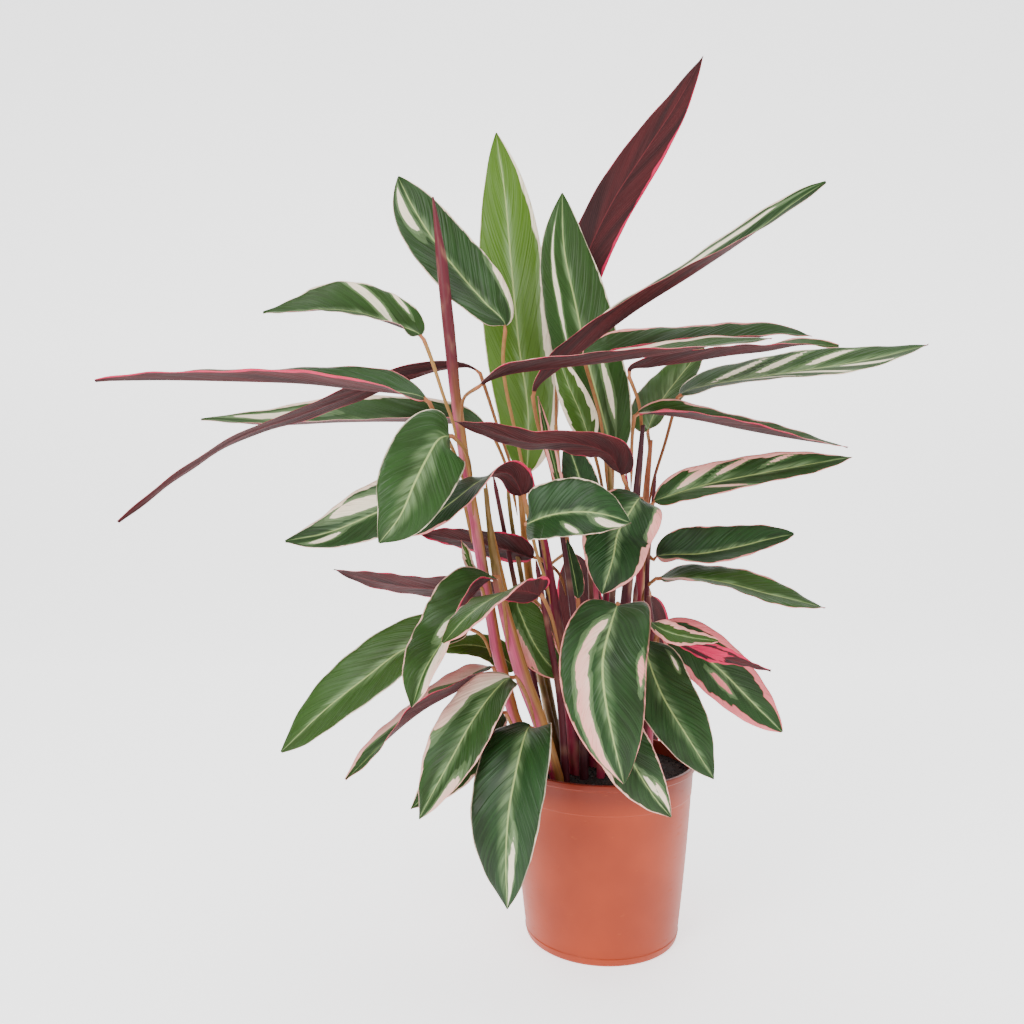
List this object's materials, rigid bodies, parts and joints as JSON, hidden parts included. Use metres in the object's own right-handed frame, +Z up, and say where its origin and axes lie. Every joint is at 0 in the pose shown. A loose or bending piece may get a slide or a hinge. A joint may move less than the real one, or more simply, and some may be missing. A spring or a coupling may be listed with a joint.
{
  "type": "potted stromanthe triostar",
  "caption": "Potted prayer plant with long green, cream and pink streaked leaves, burgundy beneath, in a terracotta-coloured plastic pot.",
  "frame": {"origin": "middle of the pot's flat underside", "axes": "+Z up along the pot's axis, -Y towards the side that the picture shows"},
  "size_m": [0.9472, 0.4139, 1.0884],
  "materials": {
    "pot": "satin",
    "soil": "matte",
    "stem": "satin",
    "leaf": "satin"
  },
  "bodies": {
    "root": {"leaf_behind_left_stem": "leaf", "leaf_behind_stems": "leaf", "leaf_bud": "leaf", "leaf_centre_face_on": "leaf", "leaf_centre_hanging": "leaf", "leaf_centre_under": "leaf", "leaf_dark_upright": "leaf", "leaf_far_right": "leaf", "leaf_front_centre": "leaf", "leaf_front_left_pot": "leaf", "leaf_front_right_pot": "leaf", "leaf_hooked_left": "leaf", "leaf_hooked_right": "leaf", "leaf_inner_pale": "leaf", "leaf_inner_rolled": "leaf", "leaf_inner_upright": "leaf", "leaf_left_behind": "leaf", "leaf_left_drooping": "leaf", "leaf_left_front": "leaf", "leaf_left_middle": "leaf", "leaf_left_under": "leaf", "leaf_long_right_front": "leaf", "leaf_longest_left": "leaf", "leaf_low_left_behind": "leaf", "leaf_low_left_broad": "leaf", "leaf_low_left_front": "leaf", "leaf_low_left_narrow": "leaf", "leaf_olive_behind": "leaf", "leaf_pink_right": "leaf", "leaf_rear_low": "leaf", "leaf_rear_right": "leaf", "leaf_right_drooping": "leaf", "leaf_right_mid": "leaf", "leaf_right_narrow": "leaf", "leaf_right_of_centre": "leaf", "leaf_right_second": "leaf", "leaf_right_striped": "leaf", "leaf_right_third": "leaf", "leaf_right_under": "leaf", "leaf_right_upright": "leaf", "leaf_slanting_right": "leaf", "leaf_tall_centre": "leaf", "leaf_tallest_pale": "leaf", "leaf_top_left": "leaf", "leaf_top_right": "leaf", "leaf_turned_left": "leaf", "leaf_twisted_left": "leaf", "leaf_upper_left": "leaf", "pot": "pot", "soil": "soil", "stem_back": "stem", "stem_centre": "stem", "stem_centre_front": "stem", "stem_left_back": "stem", "stem_left_front": "stem", "stem_left_spear": "stem", "stem_right_back": "stem", "stem_right_edge": "stem", "stem_right_front": "stem"}
  },
  "joints": []
}
